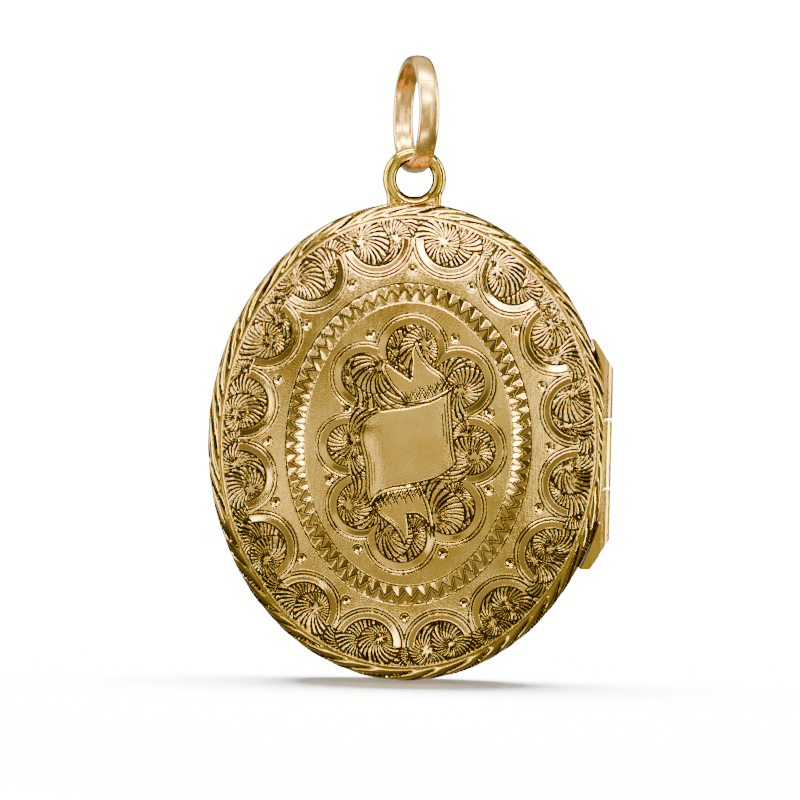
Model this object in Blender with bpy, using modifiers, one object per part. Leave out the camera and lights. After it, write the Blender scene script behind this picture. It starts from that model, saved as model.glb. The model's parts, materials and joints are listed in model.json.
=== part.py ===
"""An oval engraved locket that hangs from a jump ring, closed, as separate pieces.

Metres, +Z up. The origin is the centre of the jump ring, which holds the locket up.
The front cover faces -Y, and the hinge is on the +X side.
"""

import math

import bmesh
import bpy
from mathutils import Matrix, Vector

MM = 0.001
GAP = 0.05 * MM  # between pieces that are soldered, pressed or laid together

# The oval body, measured on the outer wall of its rims.
BODY_HALF_WIDTH = 13.85 * MM
BODY_HALF_HEIGHT = 16.50 * MM
OVAL_STEPS = 72

# Each half in section: inset from the outer wall, and depth from the parting plane.
RIM_DEPTH = 1.70 * MM
RIM_ROUND = 0.90 * MM
RIM_ROUND_STEPS = 4
RIM_INSIDE = 1.65 * MM
LEDGE_DEPTH = 1.25 * MM
PLATE_INSET = RIM_ROUND + 2 * GAP
COVER_THICKNESS = 0.45 * MM
COVER_CROWN = 3.60 * MM  # from the parting plane to the crown's outer face
COVER_RINGS = 16  # of the whole ball that the dome is half of
DOME_SQUARENESS = 2.4
DOME_FULLNESS = 0.75

# The photograph's holder in each half, from the parting plane outwards.
FRAME_NEAR = 0.12 * MM
FRAME_LIP = 0.26 * MM
FRAME_FAR = 0.92 * MM
FRAME_INSET = 2.20 * MM
FRAME_WALL = 0.30 * MM
FRAME_WIDTH = 1.55 * MM
CRYSTAL_THICKNESS = 0.30 * MM
CARD_THICKNESS = 0.18 * MM
LINER_NEAR = 1.00 * MM
LINER_THICKNESS = 0.20 * MM

# The closing bezel is pressed into the back half and slips inside the front rim.
BEZEL_INSET = RIM_INSIDE + GAP
BEZEL_WALL = 0.30 * MM
BEZEL_FRONT = 0.75 * MM
BEZEL_BACK = 0.85 * MM

# The hinge, parallel to Z and set into both rims at the parting plane.
HINGE_X = 13.35 * MM
HINGE_MIDDLE = -0.55 * MM  # above the middle of the body
HINGE_HALF_LENGTH = 7.90 * MM
TUBE_RADIUS = 0.68 * MM
TUBE_BORE = 0.34 * MM
PIN_RADIUS = 0.29 * MM
MIDDLE_KNUCKLE_HALF = 2.33 * MM
KNUCKLE_GAP = 0.12 * MM
TUBE_STEPS = 24
CHAMFER_SLOPE = 1.5  # the hinge's ends fall this far along Z for each step along X
BEARER_DEPTH = 1.15 * MM
BEARER_TIP = 0.10 * MM  # width of the wedge where it starts beside the tube
BEARER_ARC_STEPS = 7

# The pendant loop stands on the back rim, and the jump ring hangs it.
LOOP_RISE = 1.60 * MM  # of the loop's middle over the rim
LOOP_RADIUS = 1.68 * MM
LOOP_WIRE = 0.54 * MM
LOOP_SET_BACK = 0.65 * MM  # from the parting plane to the middle of the loop
FOOT_HALF_DEPTH = 0.47 * MM
FOOT_OUTLINE = ((2.35, -2.40), (2.05, -1.72), (1.80, -1.45), (1.62, -1.26))
RING_INNER_RADIUS = 3.35 * MM
RING_THICKNESS = 0.75 * MM
RING_HALF_WIDTH = 0.69 * MM
RING_BEVEL = 0.22 * MM
RING_STEPS = 48
RING_TURN = math.radians(14)

BAR_DROP = RING_INNER_RADIUS - GAP - LOOP_WIRE  # from the origin to the loop's top bar
LOOP_CENTRE = Vector((0, 0, -BAR_DROP - LOOP_RADIUS))
BODY_CENTRE = Vector(
    (0, -LOOP_SET_BACK, LOOP_CENTRE.z - LOOP_RISE - BODY_HALF_HEIGHT)
)
HINGE_POINT = BODY_CENTRE + Vector((HINGE_X, 0, HINGE_MIDDLE))
FRONT, BACK = -1, 1  # which way a half lies from the parting plane, along Y

GOLD = ("gold", (0.86, 0.62, 0.27), 0.24, 1.0)
RING_GOLD = ("ring_gold", (0.90, 0.67, 0.36), 0.20, 1.0)
GILT = ("gilt_frame", (0.83, 0.60, 0.28), 0.30, 1.0)
GLASS = ("crystal_glass", (0.95, 0.97, 0.97), 0.03, 0.0)
CARD = ("photo_card", (0.86, 0.81, 0.70), 0.80, 0.0)


def clear_scene():
    for obj in list(bpy.data.objects):
        bpy.data.objects.remove(obj)


def collection(name):
    made = bpy.data.collections.new(name)
    bpy.context.scene.collection.children.link(made)
    return made


def material(spec):
    name, colour, roughness, metallic = spec
    found = bpy.data.materials.get(name)
    if found:
        return found
    made = bpy.data.materials.new(name)
    made.use_nodes = True
    shader = made.node_tree.nodes["Principled BSDF"]
    shader.inputs["Base Color"].default_value = (*colour, 1)
    shader.inputs["Roughness"].default_value = roughness
    shader.inputs["Metallic"].default_value = metallic
    return made


def empty(name, place):
    made = bpy.data.objects.new(name, None)
    made.location = place
    LOCKET.objects.link(made)
    return made


def part(name, mesh, finish, joint, place=BODY_CENTRE):
    """A piece whose mesh is drawn round place, carried by its joint's empty."""
    obj = bpy.data.objects.new(name, mesh)
    LOCKET.objects.link(obj)
    obj.parent = joint
    obj.location = Vector(place) - joint.location
    mesh.materials.append(material(finish))
    mesh.shade_smooth()
    mesh.set_sharp_from_angle(angle=math.radians(35))
    return obj


def cutter(name, mesh, joint, place=BODY_CENTRE):
    obj = bpy.data.objects.new(name, mesh)
    CUTTERS.objects.link(obj)
    obj.parent = joint
    obj.location = Vector(place) - joint.location
    obj.hide_render = True
    obj.display_type = "WIRE"
    return obj


def combine(obj, other, operation="DIFFERENCE"):
    modifier = obj.modifiers.new(other.name, "BOOLEAN")
    modifier.operation = operation
    modifier.object = other


def oval(inset, count=OVAL_STEPS):
    """Points (x, z) of the body's outline, moved inwards by inset along its normals."""
    points = []
    for step in range(count):
        angle = 2 * math.pi * step / count
        x = BODY_HALF_WIDTH * math.cos(angle)
        z = BODY_HALF_HEIGHT * math.sin(angle)
        normal = Vector((x / BODY_HALF_WIDTH**2, z / BODY_HALF_HEIGHT**2)).normalized()
        points.append((x - inset * normal.x, z - inset * normal.y))
    return points


def flat_curve(name, points, closed=True):
    """A 2D poly curve through the points."""
    curve = bpy.data.curves.new(name, "CURVE")
    curve.dimensions = "2D"
    spline = curve.splines.new("POLY")
    spline.points.add(len(points) - 1)
    for point, (x, y) in zip(spline.points, points):
        point.co = (x, y, 0, 1)
    spline.use_cyclic_u = closed
    return curve


def mesh_of(name, curve, bevel_object=None):
    """The curve's welded mesh, stood up so that its drawing plane becomes XZ."""
    curve.bevel_mode = "OBJECT" if bevel_object else "ROUND"
    curve.bevel_object = bevel_object
    holder = bpy.data.objects.new(name, curve)
    bpy.context.scene.collection.objects.link(holder)
    graph = bpy.context.evaluated_depsgraph_get()
    mesh = bpy.data.meshes.new_from_object(holder.evaluated_get(graph))
    bpy.data.objects.remove(holder)
    work = bmesh.new()
    work.from_mesh(mesh)
    bmesh.ops.remove_doubles(work, verts=work.verts, dist=0.001 * MM)
    bmesh.ops.transform(
        work, matrix=Matrix.Rotation(math.pi / 2, 4, "X"), verts=work.verts
    )
    bmesh.ops.recalc_face_normals(work, faces=work.faces)
    work.to_mesh(mesh)
    work.free()
    return mesh


def plate(name, outline, near, far):
    """A flat plate of that outline in XZ, from near to far along Y."""
    curve = flat_curve(name, outline)
    curve.fill_mode = "BOTH"
    curve.extrude = (far - near) / 2
    mesh = mesh_of(name, curve)
    mesh.transform(Matrix.Translation((0, (near + far) / 2, 0)))
    return mesh


def oval_ring(name, section):
    """A ring that follows the body's outline. section holds (inset, y) corners."""
    profile = flat_curve(name + "_section", [(inset, -y) for inset, y in section])
    guide = bpy.data.objects.new(name + "_section", profile)
    bpy.context.scene.collection.objects.link(guide)
    mesh = mesh_of(name, flat_curve(name, oval(0)), guide)
    bpy.data.objects.remove(guide)
    return mesh


def turned(name, profile, steps, axis="Z"):
    """A closed profile of (radius, along) corners turned round an axis."""
    work = bmesh.new()
    corners = [work.verts.new((radius, 0, along)) for radius, along in profile]
    edges = [
        work.edges.new((corners[i - 1], corners[i])) for i in range(len(corners))
    ]
    bmesh.ops.spin(
        work,
        geom=corners + edges,
        axis=(0, 0, 1),
        cent=(0, 0, 0),
        steps=steps,
        angle=2 * math.pi,
    )
    bmesh.ops.remove_doubles(work, verts=work.verts, dist=0.001 * MM)
    if axis == "X":
        turn = Matrix.Rotation(math.pi / 2, 4, "Y")
        bmesh.ops.transform(work, matrix=turn, verts=work.verts)
    bmesh.ops.recalc_face_normals(work, faces=work.faces)
    mesh = bpy.data.meshes.new(name)
    work.to_mesh(mesh)
    work.free()
    return mesh


def cylinder(name, radius, low, high, steps=TUBE_STEPS):
    work = bmesh.new()
    bmesh.ops.create_cone(
        work,
        cap_ends=True,
        segments=steps,
        radius1=radius,
        radius2=radius,
        depth=high - low,
        matrix=Matrix.Translation((0, 0, (low + high) / 2)),
    )
    mesh = bpy.data.meshes.new(name)
    work.to_mesh(mesh)
    work.free()
    return mesh


def box(name, low, high):
    low, high = Vector(low), Vector(high)
    work = bmesh.new()
    bmesh.ops.create_cube(work, size=1)
    bmesh.ops.scale(work, vec=high - low, verts=work.verts)
    bmesh.ops.translate(work, vec=(low + high) / 2, verts=work.verts)
    mesh = bpy.data.meshes.new(name)
    work.to_mesh(mesh)
    work.free()
    return mesh


def rim_section(side):
    """The rim in section: a round shoulder outside, and a ledge inside for the cover."""
    section = [(RIM_INSIDE, GAP / 2), (0, GAP / 2)]
    straight = RIM_DEPTH - RIM_ROUND
    for step in range(RIM_ROUND_STEPS + 1):
        angle = math.pi / 2 * step / RIM_ROUND_STEPS
        section.append(
            (
                RIM_ROUND * (1 - math.cos(angle)),
                straight + RIM_ROUND * math.sin(angle),
            )
        )
    section += [
        (RIM_ROUND + GAP, RIM_DEPTH),
        (RIM_ROUND + GAP, LEDGE_DEPTH),
        (RIM_INSIDE, LEDGE_DEPTH),
    ]
    return [(inset, side * depth) for inset, depth in section]


def cover_mesh(name, side):
    """The half of a ball, reshaped to a cushion dome over the plate's oval edge."""
    work = bmesh.new()
    bmesh.ops.create_uvsphere(
        work, u_segments=OVAL_STEPS, v_segments=COVER_RINGS, radius=1
    )
    low = [v for v in work.verts if v.co.z < -0.01]
    bmesh.ops.delete(work, geom=low, context="VERTS")
    edge_level = LEDGE_DEPTH + GAP + COVER_THICKNESS
    edge = oval(PLATE_INSET)
    for vert in work.verts:
        share = math.hypot(vert.co.x, vert.co.y)
        turn = math.atan2(vert.co.y, vert.co.x) / (2 * math.pi) % 1
        x, z = edge[round(turn * OVAL_STEPS) % OVAL_STEPS]
        lift = (1 - min(share, 1) ** DOME_SQUARENESS) ** DOME_FULLNESS
        depth = edge_level + (COVER_CROWN - edge_level) * lift
        vert.co = (share * x, side * depth, share * z)
    bmesh.ops.recalc_face_normals(work, faces=work.faces)
    if sum(face.normal.y for face in work.faces) * side < 0:
        bmesh.ops.reverse_faces(work, faces=work.faces)
    mesh = bpy.data.meshes.new(name)
    work.to_mesh(mesh)
    work.free()
    return mesh


def hinge_gutter(name, joint):
    """The round channel that the hinge's tubes turn in, opened out past the rims."""
    length = HINGE_HALF_LENGTH + 3 * MM
    channel = cutter(
        name + "_channel",
        cylinder(name + "_channel", TUBE_RADIUS + GAP, -length, length),
        joint,
        HINGE_POINT,
    )
    outside = cutter(
        name + "_outside",
        box(
            name + "_outside",
            (-GAP, -3 * MM, -length),
            (3 * MM, 3 * MM, length),
        ),
        joint,
        HINGE_POINT,
    )
    return channel, outside


def make_half(word, side, joint):
    """The cover, rim, liner, photo card, crystal and photo frame of one half."""
    cover = part(word + "_cover", cover_mesh(word, side), GOLD, joint)
    shell = cover.modifiers.new("thickness", "SOLIDIFY")
    shell.thickness = COVER_THICKNESS
    shell.offset = -1
    rim = part(word + "_rim", oval_ring(word + "_rim", rim_section(side)), GOLD, joint)
    for tool in hinge_gutter(word, joint):
        combine(rim, tool)

    def depths(near, thickness):
        return sorted((side * near, side * (near + thickness)))

    part(
        word + "_liner",
        plate(
            word + "_liner",
            oval(RIM_INSIDE + GAP),
            *depths(LINER_NEAR, LINER_THICKNESS),
        ),
        GILT,
        joint,
    )
    seat = FRAME_INSET + FRAME_WALL + GAP
    crystal_near = FRAME_NEAR + FRAME_LIP + GAP / 2
    card_near = crystal_near + CRYSTAL_THICKNESS + GAP / 2
    part(
        word + "_crystal",
        plate(
            word + "_crystal", oval(seat), *depths(crystal_near, CRYSTAL_THICKNESS)
        ),
        GLASS,
        joint,
    )
    part(
        word + "_photo_card",
        plate(word + "_photo_card", oval(seat), *depths(card_near, CARD_THICKNESS)),
        CARD,
        joint,
    )
    lip_end = FRAME_INSET + FRAME_WIDTH
    lip_back = FRAME_NEAR + FRAME_LIP
    frame_section = [
        (FRAME_INSET, FRAME_FAR),
        (FRAME_INSET, FRAME_NEAR + GAP),
        (FRAME_INSET + GAP, FRAME_NEAR),
        (lip_end - 3 * GAP, FRAME_NEAR),
        (lip_end, lip_back),
        (FRAME_INSET + FRAME_WALL, lip_back),
        (FRAME_INSET + FRAME_WALL, FRAME_FAR),
    ]
    frame_section = [(inset, side * depth) for inset, depth in frame_section]
    part(
        word + "_photo_frame",
        oval_ring(word + "_photo_frame", frame_section),
        GILT,
        joint,
    )


def make_bezel(joint):
    section = [
        (BEZEL_INSET, -BEZEL_FRONT + GAP),
        (BEZEL_INSET + GAP, -BEZEL_FRONT),
        (BEZEL_INSET + BEZEL_WALL, -BEZEL_FRONT),
        (BEZEL_INSET + BEZEL_WALL, BEZEL_BACK),
        (BEZEL_INSET, BEZEL_BACK),
    ]
    part("closing_bezel", oval_ring("closing_bezel", section), GILT, joint)


def chamfer_cutter(name, end, joint):
    """A block whose slanting face ends the hinge, above it (end 1) or below (-1)."""
    size = 6 * MM
    mesh = box(name, (-size, -size, 0), (size, size, size))
    tilt = math.atan(CHAMFER_SLOPE)
    mesh.transform(Matrix.Rotation(tilt, 4, "Y"))
    inner_corner = Vector((-TUBE_RADIUS, 0, HINGE_HALF_LENGTH))
    mesh.transform(Matrix.Translation(inner_corner))
    if end < 0:
        mesh.transform(Matrix.Scale(-1, 4, (0, 0, 1)))
        mesh.flip_normals()
    return cutter(name, mesh, joint, HINGE_POINT)


def bearer_outline(end):
    """The wedge between the oval rim and the straight hinge, in XZ round the body."""
    outer_x = HINGE_X - GAP
    first = math.acos((outer_x - GAP - BEARER_TIP) / BODY_HALF_WIDTH)
    last = math.asin((HINGE_HALF_LENGTH + end * HINGE_MIDDLE) / BODY_HALF_HEIGHT)
    points = []
    for step in range(BEARER_ARC_STEPS + 1):
        angle = first + (last - first) * step / BEARER_ARC_STEPS
        x = (BODY_HALF_WIDTH + GAP) * math.cos(angle)
        z = (BODY_HALF_HEIGHT + GAP) * math.sin(angle)
        points.append((x, end * z))
    points.append((outer_x, points[-1][1]))
    points.append((outer_x, points[0][1]))
    return points


def make_bearers(word, side, joint):
    """The two wedges that carry the hinge where the rim curves away from it."""
    for label, end in (("upper", 1), ("lower", -1)):
        name = f"{word}_bearer_{label}"
        span = sorted((side * GAP / 2, side * BEARER_DEPTH))
        bearer = part(name, plate(name, bearer_outline(end), *span), GOLD, joint)
        channel = cylinder(
            name + "_channel", TUBE_RADIUS + GAP, -12 * MM, 12 * MM
        )
        combine(bearer, cutter(name + "_channel", channel, joint, HINGE_POINT))
        combine(bearer, chamfer_cutter(name + "_end", end, joint))


def tube(name, low, high, joint):
    profile = [
        (TUBE_BORE, low),
        (TUBE_RADIUS, low),
        (TUBE_RADIUS, high),
        (TUBE_BORE, high),
    ]
    return part(name, turned(name, profile, TUBE_STEPS), GOLD, joint, HINGE_POINT)


def make_hinge(front_joint, back_joint):
    end_start = MIDDLE_KNUCKLE_HALF + KNUCKLE_GAP
    for label, end in (("upper", 1), ("lower", -1)):
        span = sorted((end * end_start, end * (HINGE_HALF_LENGTH + GAP)))
        name = "front_knuckle_" + label
        knuckle = tube(name, *span, front_joint)
        combine(knuckle, chamfer_cutter(name + "_end", end, front_joint))
    tube("back_knuckle", -MIDDLE_KNUCKLE_HALF, MIDDLE_KNUCKLE_HALF, back_joint)
    pin_half = HINGE_HALF_LENGTH - TUBE_RADIUS * CHAMFER_SLOPE
    pin_half -= PIN_RADIUS * CHAMFER_SLOPE
    part(
        "hinge_pin",
        cylinder("hinge_pin", PIN_RADIUS, -pin_half, pin_half),
        GILT,
        back_joint,
        HINGE_POINT,
    )


def make_loop(joint):
    """The wire loop and its flared foot in one, cut to sit on the back rim."""
    bpy.ops.mesh.primitive_torus_add(
        major_radius=LOOP_RADIUS,
        minor_radius=LOOP_WIRE,
        major_segments=36,
        minor_segments=12,
    )
    torus = bpy.context.object
    mesh = torus.data
    bpy.data.objects.remove(torus)
    mesh.transform(Matrix.Rotation(math.pi / 2, 4, "X"))
    loop = part("pendant_loop", mesh, GOLD, joint, LOOP_CENTRE)
    right = [(x * MM, z * MM) for x, z in FOOT_OUTLINE]
    left = [(-x, z) for x, z in reversed(right)]
    foot = plate("loop_foot", right + left, -FOOT_HALF_DEPTH, FOOT_HALF_DEPTH)
    combine(loop, cutter("loop_foot", foot, joint, LOOP_CENTRE), "UNION")
    seat = plate("loop_seat", oval(-GAP), -2 * RIM_DEPTH, 2 * RIM_DEPTH)
    combine(loop, cutter("loop_seat", seat, joint))


def make_jump_ring():
    """A flat-sided wire with bevelled edges, closed to a ring and turned a little."""
    inner, outer = RING_INNER_RADIUS, RING_INNER_RADIUS + RING_THICKNESS
    half, bevel = RING_HALF_WIDTH, RING_BEVEL
    profile = [
        (inner, -half + bevel),
        (inner + bevel, -half),
        (outer - bevel, -half),
        (outer, -half + 2 * bevel),
        (outer, half - 2 * bevel),
        (outer - bevel, half),
        (inner + bevel, half),
        (inner, half - bevel),
    ]
    mesh = turned("jump_ring", profile, RING_STEPS, axis="X")
    ring = part("jump_ring", mesh, RING_GOLD, HANGER, (0, 0, 0))
    ring.rotation_euler.z = RING_TURN


clear_scene()
LOCKET = collection("locket")
CUTTERS = collection("locket_cutters")
HANGER = empty("hanger", (0, 0, 0))
SWING = empty("locket_swing", (0, 0, -BAR_DROP))
OPENING = empty("cover_opening", HINGE_POINT)

make_half("back", BACK, SWING)
make_half("front", FRONT, OPENING)
make_bezel(SWING)
make_bearers("back", BACK, SWING)
make_bearers("front", FRONT, OPENING)
make_hinge(OPENING, SWING)
make_loop(SWING)
make_jump_ring()
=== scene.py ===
"""Looks for an oval locket: rope-edged rims, engraved covers, loop, ring and gold finishes."""

import json
import math

import bmesh
import bpy
import numpy as np
from mathutils import Matrix, Vector

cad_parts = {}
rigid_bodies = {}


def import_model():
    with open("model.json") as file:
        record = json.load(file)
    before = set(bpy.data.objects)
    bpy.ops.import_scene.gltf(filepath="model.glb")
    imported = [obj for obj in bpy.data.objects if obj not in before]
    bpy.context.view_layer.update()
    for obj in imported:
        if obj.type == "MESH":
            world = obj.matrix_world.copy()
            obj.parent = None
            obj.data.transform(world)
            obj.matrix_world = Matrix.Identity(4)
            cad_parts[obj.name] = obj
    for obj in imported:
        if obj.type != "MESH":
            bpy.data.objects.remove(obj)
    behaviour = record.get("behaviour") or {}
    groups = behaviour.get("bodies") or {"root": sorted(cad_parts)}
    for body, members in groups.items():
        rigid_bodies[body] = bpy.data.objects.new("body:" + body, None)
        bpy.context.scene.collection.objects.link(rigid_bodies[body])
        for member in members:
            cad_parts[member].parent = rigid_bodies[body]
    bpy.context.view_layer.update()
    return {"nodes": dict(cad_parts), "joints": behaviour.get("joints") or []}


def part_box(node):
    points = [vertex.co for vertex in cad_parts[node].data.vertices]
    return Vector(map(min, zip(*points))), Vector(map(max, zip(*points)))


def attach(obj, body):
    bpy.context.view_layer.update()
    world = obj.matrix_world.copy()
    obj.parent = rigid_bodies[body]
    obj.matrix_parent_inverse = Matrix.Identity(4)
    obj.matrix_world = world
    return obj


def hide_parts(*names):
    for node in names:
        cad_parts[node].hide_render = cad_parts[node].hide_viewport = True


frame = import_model()

MM = 0.001
FRONT, BACK = -1, 1  # which way a half lies from the parting plane, along Y

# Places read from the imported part.
HINGE = next(joint for joint in frame["joints"] if joint["name"] == "cover_open")["pos_m"]
PARTING_Y = HINGE[1]
RIM_LOW, RIM_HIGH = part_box("back_rim")
CENTRE_Z = (RIM_LOW.z + RIM_HIGH.z) / 2
HALF_HEIGHT = (RIM_HIGH.z - RIM_LOW.z) / 2
HALF_WIDTH = -RIM_LOW.x
COVER_LOW, COVER_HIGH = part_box("back_cover")
COVER_X = COVER_HIGH.x / MM
COVER_Z = (COVER_HIGH.z - COVER_LOW.z) / 2 / MM
LOOP_LOW, LOOP_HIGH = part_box("pendant_loop")

# The covers, in millimetres: depths are from the parting plane.
EDGE_DEPTH = 1.75
CROWN_DEPTH = 3.60
PLATE_BACK = 1.30
SQUARENESS = 2.4  # powers in the dome's curve: the first flattens its middle,
FULLNESS = 0.75  # and the second fills out its shoulder
FRONT_GRID = 600  # points across each cover's mesh
BACK_GRID = 420
RELIEF_PITCH = 0.02  # between the points of the engraving's grid
SCALLOP_COUNT = 16
BORDER_WIDTH = 0.88  # of the lines and bright cut along a scalloped edge
# distance inside the edge, half width and depth of each of those lines
BORDER_LINES = ((0.06, 0.06, 0.06), (0.27, 0.07, 0.08), (0.86, 0.08, 0.10))
CUT_START, CUT_WIDTH, CUT_END, CUT_DEPTH = 0.34, 0.46, 0.82, 0.10  # the bright cut between them
DOT_DEPTH = 0.19
GROUND_DEPTH = 0.045  # of the ground that the shells are cut in
WELL_INSIDE = 2.0  # a distance from the edge that is past all of a border's lines
FAR_OUTSIDE = -9.0
SHELL_RAYS = 26
RAY_DEPTH, HAIR_DEPTH, OUTLINE_DEPTH = 0.13, 0.07, 0.11  # cuts in a shell
# each scallop's shells: along the edge, outwards, and radius
SCALLOP_SHELLS = ((-1.85, 0.10, 1.20), (-0.75, -0.30, 1.50), (0.85, -0.25, 1.50))

rng = np.random.default_rng(7)


# ---------------------------------------------------------------- engraving, in millimetres


def ellipse(half_x, half_z, count, start=0.5):
    """Points at equal distances round an ellipse, anticlockwise, start steps past the top."""
    turn = np.linspace(0, 2 * np.pi, 4001) + np.pi / 2
    x, z = half_x * np.cos(turn), half_z * np.sin(turn)
    run = np.concatenate([[0], np.cumsum(np.hypot(np.diff(x), np.diff(z)))])
    wanted = (np.arange(count) + start) % count / count * run[-1]
    return np.stack([np.interp(wanted, run, x), np.interp(wanted, run, z)], 1)


def summed(speed):
    """The running total of a speed, from nought, by the trapezium rule."""
    return np.concatenate([[0], np.cumsum((speed[1:] + speed[:-1]) / 2)])


def smooth_line(points, per_span=8):
    """A Catmull-Rom curve through the points."""
    p = np.array(points, float)
    p = np.concatenate([[2 * p[0] - p[1]], p, [2 * p[-1] - p[-2]]])
    t = np.linspace(0, 1, per_span, endpoint=False)[:, None]
    spans = []
    for i in range(1, len(p) - 2):
        a, b, c, d = p[i - 1 : i + 3]
        spans.append(
            0.5
            * (
                2 * b
                + (c - a) * t
                + (2 * a - 5 * b + 4 * c - d) * t**2
                + (3 * b - a - 3 * c + d) * t**3
            )
        )
    return np.concatenate(spans + [p[-2:-1]])


def inside(outline, x, z):
    """Which grid cells lie within a closed outline."""
    found = np.zeros(np.broadcast(x, z).shape, bool)
    for (x0, z0), (x1, z1) in zip(outline, np.roll(outline, -1, 0)):
        if z0 == z1:
            continue
        crosses = (z0 > z) != (z1 > z)
        found ^= crosses & (x < (x1 - x0) * (z - z0) / (z1 - z0) + x0)
    return found


class Relief:
    """Depths cut into a flat sheet, on a fine square grid.

    One layer holds how dark each place is: patina in the cuts, and painted shade along the
    zigzag band's facet walls; roll is a broad sinking that stays unpolished."""

    def __init__(self):
        self.x = np.arange(-COVER_X - 0.2, COVER_X + 0.2, RELIEF_PITCH)
        self.z = np.arange(-COVER_Z - 0.2, COVER_Z + 0.2, RELIEF_PITCH)
        self.depth = np.zeros((len(self.z), len(self.x)))
        self.grime_and_shade = np.zeros_like(self.depth)
        self.roll = np.zeros_like(self.depth)
        self.grid_x, self.grid_z = np.meshgrid(self.x, self.z)

    def window(self, low, high):
        """The part of the grid between two corners."""
        columns = np.searchsorted(self.x, [low[0], high[0]])
        rows = np.searchsorted(self.z, [low[1], high[1]])
        return slice(*rows), slice(*columns)

    def line(self, points, half_width, depth, clip=None):
        """A V-shaped cut along the points; half_width may change along it."""
        points = np.asarray(points, float)
        widths = np.broadcast_to(half_width, len(points)).astype(float)
        for start, end, w0, w1 in zip(points[:-1], points[1:], widths, widths[1:]):
            reach = max(w0, w1)
            at = self.window(
                np.minimum(start, end) - reach, np.maximum(start, end) + reach
            )
            along = end - start
            size = along @ along
            if size == 0:
                continue
            px, pz = self.grid_x[at] - start[0], self.grid_z[at] - start[1]
            t = np.clip((px * along[0] + pz * along[1]) / size, 0, 1)
            away = np.hypot(px - t * along[0], pz - t * along[1])
            width = w0 + (w1 - w0) * t
            share = np.clip(1 - away / width, 0, 1)
            dirt_and_shade = np.clip(1 - away / np.maximum(0.85 * width, 0.055), 0, 1)
            if clip is not None:
                share, dirt_and_shade = share * clip[at], dirt_and_shade * clip[at]
            cut = depth * np.minimum(1, width / reach) * share
            self.depth[at] = np.maximum(self.depth[at], cut)
            self.grime_and_shade[at] = np.maximum(self.grime_and_shade[at], dirt_and_shade)

    def dot(self, centre, radius):
        """A round dimple with a cut, darkened edge."""
        at = self.window(np.array(centre) - 2 * radius, np.array(centre) + 2 * radius)
        away = np.hypot(self.grid_x[at] - centre[0], self.grid_z[at] - centre[1])
        bowl = DOT_DEPTH * np.clip(1 - (away / radius) ** 2, 0, 1)
        edge = np.clip(1 - np.abs(away - radius) / 0.05, 0, 1)
        cut = np.maximum(bowl, 0.3 * DOT_DEPTH * edge)
        dirt_and_shade = np.maximum(0.8 * edge, 2 * bowl / DOT_DEPTH - 1.3)
        self.depth[at] = np.maximum(self.depth[at], cut)
        self.grime_and_shade[at] = np.maximum(self.grime_and_shade[at], dirt_and_shade)


def groove(distance, at, half_width):
    """The share of a V-shaped cut that follows one value of a distance field."""
    return np.clip(1 - np.abs(distance - at) / half_width, 0, 1)


def border(relief, edge):
    """The lines and bright-cut band that follow a scalloped edge.

    edge is each cell's distance inside the scallops, negative outside them."""
    for at, half_width, depth in BORDER_LINES:
        share = groove(edge, at, half_width)
        relief.depth = np.maximum(relief.depth, depth * share)
        relief.grime_and_shade = np.maximum(relief.grime_and_shade, share)
    slope = np.clip((edge - CUT_START) / CUT_WIDTH, 0, 1) * (edge < CUT_END)
    relief.depth = np.maximum(relief.depth, CUT_DEPTH * slope)


def shells(relief, centres, radii, ground):
    """Overlapping shells of radiating cuts that fill the ground; later ones lie on top.

    Each shell's rays bend one way from a focus beside its middle, with a hair line between
    every second pair."""
    centres = np.array(centres, float)
    distance = [
        np.hypot(relief.grid_x - x, relief.grid_z - z) / r
        for (x, z), r in zip(centres, radii)
    ]
    owner = np.argmin(distance, 0)
    for k, away in enumerate(distance):
        owner[away < 1] = k
    relief.roll[ground] = GROUND_DEPTH
    for k, (centre, radius) in enumerate(zip(centres, radii)):
        own = ground & (owner == k)
        lean = rng.uniform(0, 2 * np.pi)
        focus = centre + 0.30 * radius * np.array([np.cos(lean), np.sin(lean)])
        bend = rng.uniform(0.35, 0.75) * rng.choice((-1, 1))
        for step in range(SHELL_RAYS):
            turn = (step + rng.uniform(-0.16, 0.16)) / SHELL_RAYS * 2 * np.pi
            near = rng.uniform(0.10, 0.30)
            share = np.linspace(near, 2.1, 9)
            heading = turn + bend * share
            r = share * radius
            points = focus + np.stack([r * np.cos(heading), r * np.sin(heading)], 1)
            gap = 2 * np.pi * r / SHELL_RAYS
            widths = np.clip(rng.uniform(0.36, 0.50) * gap, 0.05, 0.15)
            relief.line(points, widths, RAY_DEPTH, own)
            if step % 2:
                between = points[4:] + 0.5 * gap[4:, None] * turned(heading[4:])
                relief.line(between, 0.045, HAIR_DEPTH, own)
        turn = np.linspace(0, 2 * np.pi, 40)
        outline = centre + radius * np.stack([np.cos(turn), np.sin(turn)], 1)
        relief.line(outline, 0.09, OUTLINE_DEPTH, ground & (owner <= k))


def turned(heading):
    """Unit steps square to a heading."""
    return np.stack([-np.sin(heading), np.cos(heading)], 1)


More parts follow.
